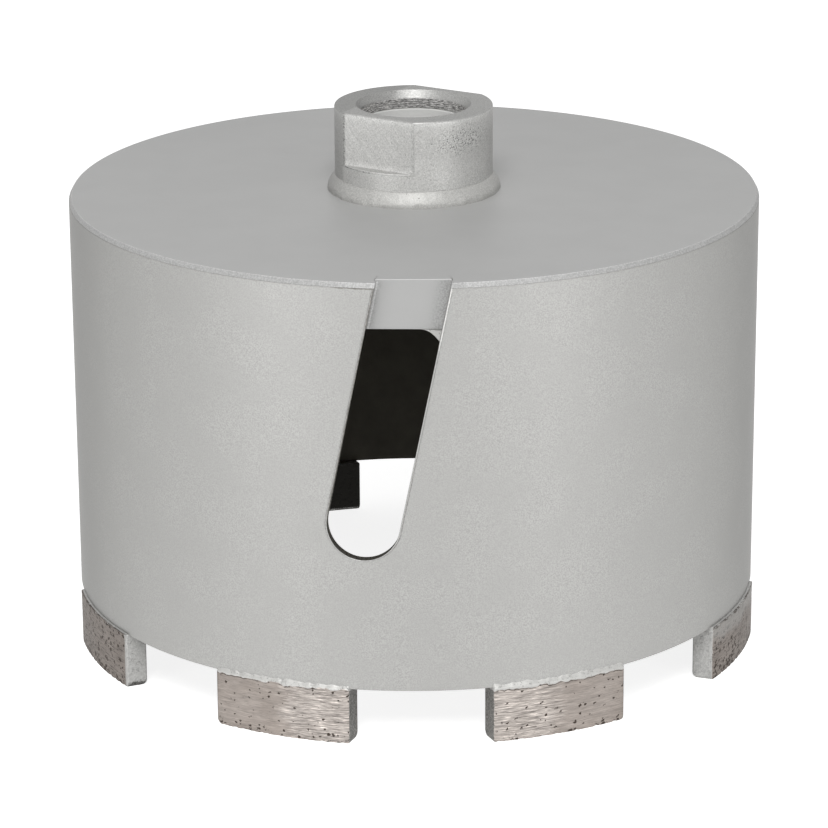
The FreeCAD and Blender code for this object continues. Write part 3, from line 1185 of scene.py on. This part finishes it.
@dataclass
class HubWeld:
    """Ring of weld metal round the hub's foot, rounded and slightly uneven.

    Args:
        root_radius: Radius of the hub.
        foot_z: Height of the plate's outer face.
        width: Reach along the plate.
        height: Reach up the hub.
    """

    root_radius: float = 15.0 * MM
    foot_z: float = 87.1 * MM
    width: float = 1.35 * MM
    height: float = 3.0 * MM

    def build(self, material: bpy.types.Material) -> bpy.types.Object:
        """The ring's piece: a steep toe rounded into a bulging back that swells and shrinks on its way."""
        angle = np.linspace(0, 2 * math.pi, 361)[:-1]
        curve = np.array([(1.0, 0.0), (1.03, 0.14), (1.0, 0.26), (0.93, 0.37), (0.8, 0.49), (0.64, 0.61),
                          (0.47, 0.73), (0.3, 0.84), (0.15, 0.93), (0.0, 1.0)])
        place = np.arange(len(curve))[:, None]
        along = angle[None] * self.root_radius / MM
        uneven = 1 + 0.035 * ripples(along, place * 0.5, 5, 2.6)
        uneven = uneven * (1 + 0.02 * ripples(along, place * 0.4, 8, 9.0))
        radius = self.root_radius + self.width * curve[:, :1] * uneven
        height = self.foot_z + self.height * curve[:, 1:] * (1 + 0.03 * ripples(along, place * 0, 9, 6.0))
        rows = [ring_point(angle, self.root_radius - 0.05 * MM, self.foot_z)]
        rows += list(ring_point(angle[None], radius, height))
        rows.append(ring_point(angle, self.root_radius - 0.05 * MM, height[-1]))
        skin = Skin("Hub_foot_weld")
        skin.add(np.stack(rows), wrap_columns=True, wrap_rows=True)
        return skin.build(material, crease=60.0)


@dataclass
class PlateWelds:
    """Weld stitches in the corner under the plate, one from each slot to the next.

    Args:
        slots: The slots.
        wall_radius: Inner radius of the barrel.
        plate_z: Height of the plate's underside.
        leg: Reach along the plate and down the wall.
        overhang: How far the first end reaches into its slot, where it leaves the plate's cut for the wall.
        run_out: Length over which that end shrinks away, hollow like a fillet.
        stop: Gap from the last end to the next slot.
    """

    slots: SlotRun
    wall_radius: float = 63.5 * MM
    plate_z: float = 77.9 * MM
    leg: float = 2.6 * MM
    overhang: float = 3.4 * MM
    run_out: float = 3.7 * MM
    stop: float = 1.5 * MM

    def build(self, number: int, material: bpy.types.Material) -> bpy.types.Object:
        """One stitch: a three-cornered section with a bulging, scaled face, whose first end runs out hollow.

        Args:
            number: The stitch's number, from 1.
            material: Its finish.

        Returns:
            The piece.
        """
        slots = self.slots
        lean, fall = slots.sides()
        edge = math.atan2(lean, slots.helix_radius)
        first = float(slots.centre(self.plate_z + fall)) + edge - self.overhang / self.wall_radius
        last = float(slots.centre(self.plate_z - fall)) - edge + slots.pitch - self.stop / self.wall_radius
        along = np.linspace(0, (last - first) * self.wall_radius, 420)
        along = np.concatenate([[0.0], np.linspace(0.02, 1, 12) * 2 * MM, along[along > 2.1 * MM]])
        down = self.leg * np.clip(along / self.run_out, 0.0, 1.0) ** 2.2 + 0.02 * MM
        ending = 0.25 + 0.75 * np.sqrt(np.clip((along[-1] - along) / (1.2 * MM), 0.0, 1.0))
        inward = self.leg * (0.3 + 0.7 * np.sqrt(np.clip(along / (1.6 * MM), 0, 1))) * ending
        down = down * ending
        leaves = (self.wall_radius - slots.floor_radius) * (1 - np.clip(along / self.overhang, 0, 1) ** 1.5)
        outer = self.wall_radius - leaves
        inward = np.maximum(inward - leaves, 0.2 * MM)
        angle = first + along / self.wall_radius + slots.pitch * (number - 1)
        share = np.linspace(0, 1, 9)[:, None]
        arch = np.sin(share * math.pi)
        bulge = 0.14 * arch
        scale = 1 + 0.05 * np.sin(along * 2 * math.pi / (1.15 * MM))[None] * arch
        scale = scale + 0.04 * ripples(along[None] / MM, share * 3, 20 + number, 2.2) * arch
        radius = outer[None] - inward[None] * np.clip((1 - share + bulge) * scale, 0, 1.0)
        height = self.plate_z - down[None] * np.clip((share + bulge) * scale, 0, 1.0)
        rows = [ring_point(angle, outer, self.plate_z)]
        rows += list(ring_point(angle[None], radius, height))
        grid = np.stack(rows)
        skin = Skin(f"Plate_weld_{number}")
        skin.add(grid, wrap_rows=True)
        skin.cap(grid[:, 0], 0.0)
        skin.cap(grid[:, -1], 0.0)
        return skin.build(material, crease=60.0)


@dataclass
class Segments:
    """Eight curved cutting segments on the barrel's rim.

    Args:
        count: Number of segments.
        first: Angle of the first one's middle.
        drift: Degrees that each one stands off its even place.
        length: Length along the rim.
        height: Height below the rim.
        outer: Radius of the ground outer face.
        thickness: Thickness.
        tip: Rounding of the inner tip edge.
        end: Rounding of the outer upright edges.
        worn: Radius in millimetres to which each one's two lower corners are worn.
        heaped: Share of a full paint fillet over each one's joint.
        stations: Stations between the rounded ends.
    """

    count: int = 8
    first: float = math.radians(22.5)
    drift: tuple[float, ...] = (0.6, 1.1, 0.0, 0.0, 0.0, 0.0, -0.3, -0.4)
    length: float = 26.4 * MM
    height: float = 10.5 * MM
    outer: float = 66.0 * MM
    thickness: float = 4.0 * MM
    tip: float = 1.0 * MM
    end: float = 0.35 * MM
    worn: tuple[tuple[float, float], ...] = ((0.2, 0.8), (0.3, 1.9), (0.4, 0.9), (0.8, 0.3),
                                             (0.3, 0.7), (0.9, 0.4), (0.5, 0.3), (1.1, 0.2))
    heaped: tuple[float, ...] = (1.0, 0.15, 0.5, 0.7, 0.5, 0.7, 0.15, 0.9)
    stations: int = 96

    def section(self) -> Array:
        """Radius and height round the cross-section: up the outer face, over the top and down to the tip."""
        inner, small = self.outer - self.thickness, 0.14 * MM
        up = np.linspace(small, self.height - small, 40)
        outer = np.stack([np.full(40, self.outer), up], axis=-1)
        lap = [(-0.01, 0.0), (-0.08, 0.12), (-0.18, 0.24), (-0.29, 0.35), (-0.39, 0.46),
               (-0.46, 0.56), (-0.495, 0.65), (-0.495, 0.3), (-0.5, 0.0)]
        roof = [(self.outer + r * MM, self.height + z * MM) for r, z in lap]
        roof += [(r, self.height) for r in np.linspace(self.outer - 0.8 * MM, inner + small, 6)]
        back = [(inner, z) for z in np.linspace(self.height - small, self.tip + 0.2 * MM, 12)]
        bend = rounded(inner, 0.0, -self.tip, self.tip, 6)
        floor = [(r, 0.0) for r in np.linspace(inner + self.tip + 0.3 * MM, self.outer - 0.4 * MM, 5)]
        toe = [(self.outer - small * (1 - math.sin(a)), small * (1 - math.cos(a))) for a in quarter(2)[:-1]]
        return np.concatenate([outer, roof, back, bend, floor, toe])

    def build(self, number: int, material: bpy.types.Material) -> bpy.types.Object:
        """One segment: its section at stations along a level chord, drawn in at each end to round the edges.

        A station x along the chord turns each radius r into the point (x, root of r squared less x squared).

        Args:
            number: The segment's number, from 1.
            material: Its finish.

        Returns:
            The piece.
        """
        section = self.section()
        turn = self.first + 2 * math.pi / self.count * (number - 1) + math.radians(self.drift[number - 1])
        half = self.length / 2
        centre = np.array([self.outer - self.thickness / 2, self.height / 2])
        arm = section - centre
        reach = np.abs(arm).max(axis=0)
        bend = quarter(4)
        inset = self.end * (1 - np.cos(bend[::-1]))[:-1]
        run = half - self.end * (1 - np.sin(bend[::-1]))[:-1]
        plain = half - self.end * 1.3
        stations = np.concatenate([-run, np.linspace(-plain, plain, self.stations), run[::-1]])
        pull = np.concatenate([inset, np.zeros(self.stations), inset[::-1]])
        shrink = 1 - pull[:, None, None] / reach
        loops = centre + arm[None] * shrink
        x = np.broadcast_to(stations[:, None], loops.shape[:2])
        face = (loops[..., 0] > self.outer - 0.2 * MM) * 1.0
        low = np.clip(1 - loops[..., 1] / (0.8 * MM), 0, 1)
        close = np.clip(1 - (half - np.abs(x)) / (0.9 * MM), 0, 1)
        chip = np.clip(ripples(x / MM, loops[..., 1] / MM, 40 + number, 1.3) - 0.2, 0, 1)
        radius = loops[..., 0] - face * chip * (0.12 * low + 0.12 * close) * MM
        height = loops[..., 1] + 0.09 * MM * low * chip * (loops[..., 0] > self.outer - 2 * MM)
        for edge, size in zip((-half, half), self.worn[number - 1]):
            inside = np.clip(size * MM - np.abs(x - edge), 0, None)
            corner = size * MM - np.sqrt((size * MM) ** 2 - inside ** 2)
            height = corner + height * (1 - corner / self.height)
        swell = ripples(x / MM, x * 0, 60 + number, 2.2) + 0.4 * ripples(x / MM, x * 0, 80 + number, 0.8)
        above = np.clip(height - self.height, 0, None)
        height = height + above * (self.heaped[number - 1] * (1 + np.clip(swell * 0.22, -0.5, 0.6)) - 1)
        beads = np.exp(-((loops[..., 1] - self.height + 0.25 * MM) / (0.35 * MM)) ** 2) * face
        radius = radius + beads * (0.07 + 0.05 * swell) * MM
        out = np.sqrt(radius ** 2 - x ** 2)
        grid = framed_point(np.full(x.shape, turn), out, x, height)
        skin = Skin(f"Cutting_segment_{number}")
        skin.add(grid, wrap_columns=True)
        skin.cap(grid[0], 0.97, 0.6, 0.0)
        skin.cap(grid[-1], 0.97, 0.6, 0.0)
        return skin.build(material, crease=35.0)


@dataclass(frozen=True)
class Softbox:
    """One soft rectangular lamp that points at the bit.

    Args:
        name: Its name.
        azimuth: Degrees round the axis, from the front towards +X.
        elevation: Degrees above the horizon.
        distance: Distance from the bit's middle, in metres.
        size: Width and height in metres.
        power: Radiance of its face, where 1 is as white as paper.
    """

    name: str
    azimuth: float
    elevation: float
    distance: float
    size: tuple[float, float]
    power: float


@dataclass
class Studio:
    """White floor, soft lamps, pale surroundings and the camera.

    Args:
        lamps: The soft lamps.
        middle: Height of what the lamps point at.
        surroundings: Brightness of the room round the bit.
        floor_glow: Brightness that the floor has for the camera before any light falls on it.
        floor_colour: Colour of the floor.
        floor_reach: Half the floor's width.
        lens: The camera's focal length in millimetres, on a sensor 36 wide.
        place: The camera's place.
        aim: The point that it looks at.
        roll: Its roll about that line.
        shift: Its sideways shift, as a share of the picture's width.
    """

    lamps: tuple[Softbox, ...] = (
        Softbox("front_high_box", -4.0, 45.0, 1.3, (0.5, 0.5), 9.9),
        Softbox("left_low_box", -42.0, 2.0, 1.1, (0.42, 0.5), 3.55),
        Softbox("right_low_box", 42.0, 2.0, 1.1, (0.42, 0.5), 3.3),
        Softbox("top_box", 0.0, 65.0, 1.3, (1.0, 0.5), 1.6),
    )
    middle: float = 0.05
    surroundings: float = 0.15
    floor_glow: float = 0.86
    floor_colour: Colour = (0.8, 0.8, 0.8)
    floor_reach: float = 6.0
    lens: float = 170.33
    place: tuple[float, float, float] = (-0.00818, -0.72103, 0.28108)
    aim: tuple[float, float, float] = (0.0, 0.0, 0.04152)
    roll: float = math.radians(-0.3217)
    shift: float = -1.232 / 828

    def add_camera(self) -> None:
        """Puts up the camera: it looks from its place at the aim point, with a small roll."""
        data = bpy.data.cameras.new("photo_camera")
        data.lens, data.sensor_width, data.shift_x = self.lens, 36.0, self.shift
        data.clip_start, data.clip_end = 0.01, 30.0
        camera = bpy.data.objects.new("photo_camera", data)
        forward = (Vector(self.aim) - Vector(self.place)).normalized()
        right = forward.cross(Vector((0, 0, 1))).normalized()
        up = right.cross(forward)
        tilted_right = right * math.cos(self.roll) + up * math.sin(self.roll)
        tilted_up = up * math.cos(self.roll) - right * math.sin(self.roll)
        turn = Matrix((tilted_right, tilted_up, -forward)).transposed().to_4x4()
        camera.matrix_world = Matrix.Translation(self.place) @ turn
        bpy.context.scene.collection.objects.link(camera)
        bpy.context.scene.camera = camera

    def add_lamps(self) -> None:
        """Hangs the soft lamps, each turned to the bit's middle."""
        target = Vector((0, 0, self.middle))
        for box in self.lamps:
            azimuth, elevation = math.radians(box.azimuth), math.radians(box.elevation)
            way = Vector((math.sin(azimuth) * math.cos(elevation), -math.cos(azimuth) * math.cos(elevation),
                          math.sin(elevation)))
            data = bpy.data.lights.new(box.name, "AREA")
            data.shape, data.size, data.size_y = "RECTANGLE", *box.size
            data.energy = box.power * math.pi * box.size[0] * box.size[1]
            lamp = bpy.data.objects.new(box.name, data)
            lamp.location = target + way * box.distance
            lamp.rotation_euler = way.to_track_quat("Z", "Y").to_euler()
            bpy.context.scene.collection.objects.link(lamp)

    @staticmethod
    def shown(graph: Graph) -> Wire:
        """1 for a ray that shows the room itself: from the camera, mirrored or through something clear."""
        ray = total = graph.wire("ShaderNodeLightPath", {}, "Is Camera Ray")
        for kind in ("Is Glossy Ray", "Is Transmission Ray"):
            both = {0: total, 1: ray.other(kind)}
            total = graph.wire("ShaderNodeMath", both, operation="ADD", use_clamp=True)
        return total

    def add_room(self) -> None:
        """Lights the room evenly, and shows it white behind the bit and in its metal."""
        world = bpy.data.worlds.new("pale_room")
        bpy.context.scene.world = world
        world.use_nodes = True
        world.cycles.sampling_method = "NONE"
        graph = Graph(world.node_tree)
        pale, white = (graph.wire("ShaderNodeBackground", {"Color": (1.0, 1.0, 1.0), "Strength": strength})
                       for strength in (self.surroundings, 1.0))
        room = graph.wire("ShaderNodeMixShader", {0: self.shown(graph), 1: pale, 2: white})
        graph.add("ShaderNodeOutputWorld", {0: room})

    def add_floor(self) -> None:
        """Lays a wide white floor that shows white to the camera and still takes the bit's faint shadow."""
        mesh = bpy.data.meshes.new("floor")
        reach = self.floor_reach
        mesh.from_pydata([(-reach, -reach, 0), (reach, -reach, 0), (reach, reach, 0), (-reach, reach, 0)], [],
                         [(0, 1, 2, 3)])
        floor = bpy.data.objects.new("floor", mesh)
        bpy.context.scene.collection.objects.link(floor)
        material = bpy.data.materials.new("white_floor")
        material.use_nodes = True
        material.cycles.emission_sampling = "NONE"
        graph = Graph(material.node_tree)
        paper = graph.wire("ShaderNodeBsdfDiffuse", {"Color": self.floor_colour})
        glow = graph.wire("ShaderNodeEmission", {"Strength": self.shown(graph) * self.floor_glow})
        both = graph.wire("ShaderNodeAddShader", {0: paper, 1: glow})
        graph.add("ShaderNodeOutputMaterial", {"Surface": both})
        mesh.materials.append(material)
        floor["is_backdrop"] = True

    def build(self) -> None:
        """Sets up the whole studio."""
        self.add_camera()
        self.add_lamps()
        self.add_room()
        self.add_floor()
        bpy.context.scene.view_settings.view_transform = "Standard"


@dataclass
class CoreBit:
    """The whole bit, built piece by piece.

    Args:
        slots: The slots.
    """

    slots: SlotRun = field(default_factory=SlotRun)

    def settle(self, piece: bpy.types.Object, slot: Slot, *nodes: str) -> None:
        """Rides a piece on the frame, names what it stands for and reports it.

        Args:
            piece: The new piece.
            slot: Material slot of the record; not used.
            nodes: Frame nodes that the piece replaces.
        """
        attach(piece, BODY)
        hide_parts(*nodes)
        LOG.info("%s: %d faces, stands for %s", piece.name, len(piece.data.polygons), ", ".join(nodes))

    def build(self) -> None:
        """Builds and dresses every piece."""
        self.settle(Barrel(self.slots).build(BarrelFinish().make()), Slot.PAINT, "barrel_tube")
        self.settle(EndPlate(self.slots).build(PlateFinish().make()), Slot.PAINT, "end_plate")
        self.settle(Hub().build(HubFinish().make()), Slot.PAINT, "threaded_hub")
        self.settle(HubWeld().build(WeldFinish("hub_weld_finish").make()), Slot.PAINT, "hub_weld_bead")
        inside = WeldFinish("plate_weld_finish", specks=0.8).make()
        for k in range(1, self.slots.count + 1):
            self.settle(PlateWelds(self.slots).build(k, inside), Slot.PAINT, f"plate_weld_{k}")
        segments, finish = Segments(), SegmentFinish().make()
        for k in range(1, segments.count + 1):
            self.settle(segments.build(k, finish), Slot.MATRIX, f"segment_{k}")


def corners() -> list[list[float]]:
    """Lowest and highest corner of what is shown."""
    return [[round(float(value), 6) for value in corner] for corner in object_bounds()]


def main() -> None:
    """Loads the frame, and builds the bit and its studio."""
    logging.basicConfig(level=logging.INFO, format="%(name)s: %(message)s")
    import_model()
    CoreBit().build()
    Studio().build()


if __name__ == "__main__":
    main()
